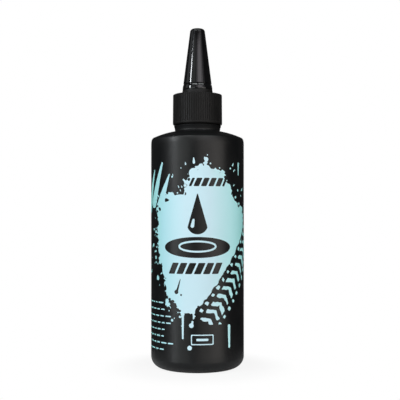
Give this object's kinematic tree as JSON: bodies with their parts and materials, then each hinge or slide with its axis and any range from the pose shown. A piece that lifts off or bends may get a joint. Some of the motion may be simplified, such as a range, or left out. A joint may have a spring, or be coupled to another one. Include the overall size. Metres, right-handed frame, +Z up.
{
  "type": "chain lube bottle",
  "caption": "Cylindrical black squeeze bottle for chain oil, with a ribbed screw closure, a dripper nozzle and a conical overcap.",
  "frame": {"origin": "middle of the base, on the plane of the ring that the bottle stands on", "axes": "+Z up the bottle's axis to the tip of the overcap, -Y towards the viewer of the picture, +X to the viewer's right"},
  "size_m": [0.042, 0.042, 0.1527],
  "materials": {
    "bottle_black": "satin blown polyethylene, screen printed",
    "washer_foam": "closed-cell foam",
    "closure_black": "matte moulded",
    "overcap_black": "polished moulded",
    "print_ink": "screen-printed ink"
  },
  "bodies": {
    "bottle": {"bottle": "bottle_black"},
    "washer": {"sealing_washer": "washer_foam"},
    "closure": {"nozzle_closure": "closure_black"},
    "overcap": {"overcap": "overcap_black"}
  },
  "joints": [
    {"name": "closure_lift", "type": "slide", "parent": "bottle", "child": "washer", "axis": [0, 0, 1], "range_m": [0, 0.0128]},
    {"name": "closure_unscrew", "type": "hinge", "parent": "washer", "child": "closure", "pos_m": [0, 0, 0.1204], "axis": [0, 0, 1], "range_deg": [0, 1440]},
    {"name": "overcap_pull", "type": "slide", "parent": "closure", "child": "overcap", "axis": [0, 0, 1], "range_m": [0, 0.03]}
  ],
  "couplings": [
    {"joint": "closure_lift", "follows": "closure_unscrew", "m_per_rad": 0.00050532}
  ]
}
